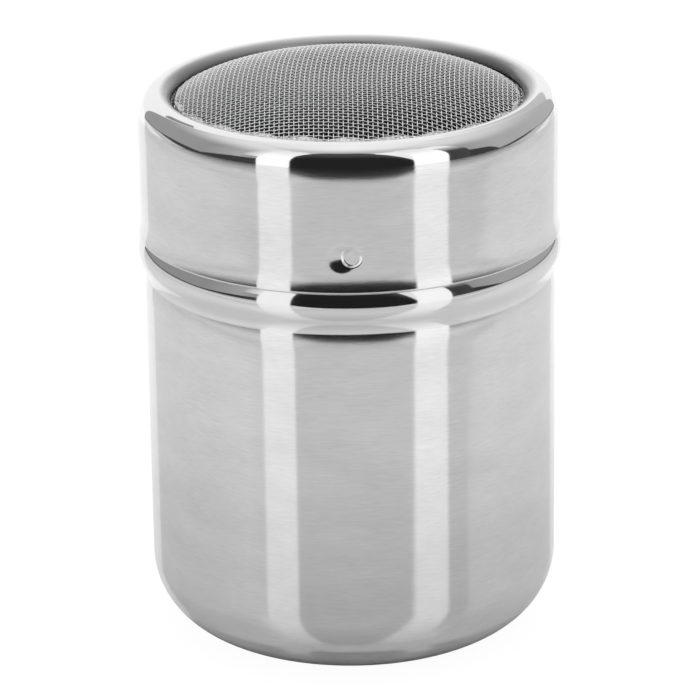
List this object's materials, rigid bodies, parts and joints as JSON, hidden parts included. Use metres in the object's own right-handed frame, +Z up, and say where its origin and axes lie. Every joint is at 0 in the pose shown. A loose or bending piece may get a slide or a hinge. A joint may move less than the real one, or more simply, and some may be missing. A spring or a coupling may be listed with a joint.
{
  "type": "sugar caster",
  "caption": "Round steel sugar caster: a deep-drawn cup with a beaded neck, and a lift-off lid with a rolled rim around a domed woven wire sieve.",
  "frame": {"origin": "centre of the base, on the table", "axes": "+Z up along the axis of the cup; the front, with the first grip pip, faces -Y"},
  "size_m": [0.071, 0.071, 0.0986],
  "materials": {
    "cup_steel": "brushed round the wall, brighter on the bead",
    "lid_steel": "brushed round the wall, polished on the shoulder and rolled rim",
    "sieve_wire": "bright drawn wire",
    "ring_steel": "plain rolled sheet"
  },
  "bodies": {
    "cup": {"cup": "cup_steel"},
    "lid": {"lid_shell": "lid_steel", "sieve_cloth": "sieve_wire", "clamp_ring": "ring_steel"}
  },
  "joints": [
    {"name": "lid_lift", "type": "slide", "parent": "cup", "child": "lid", "axis": [0, 0, 1], "range_m": [0, 0.04]}
  ]
}
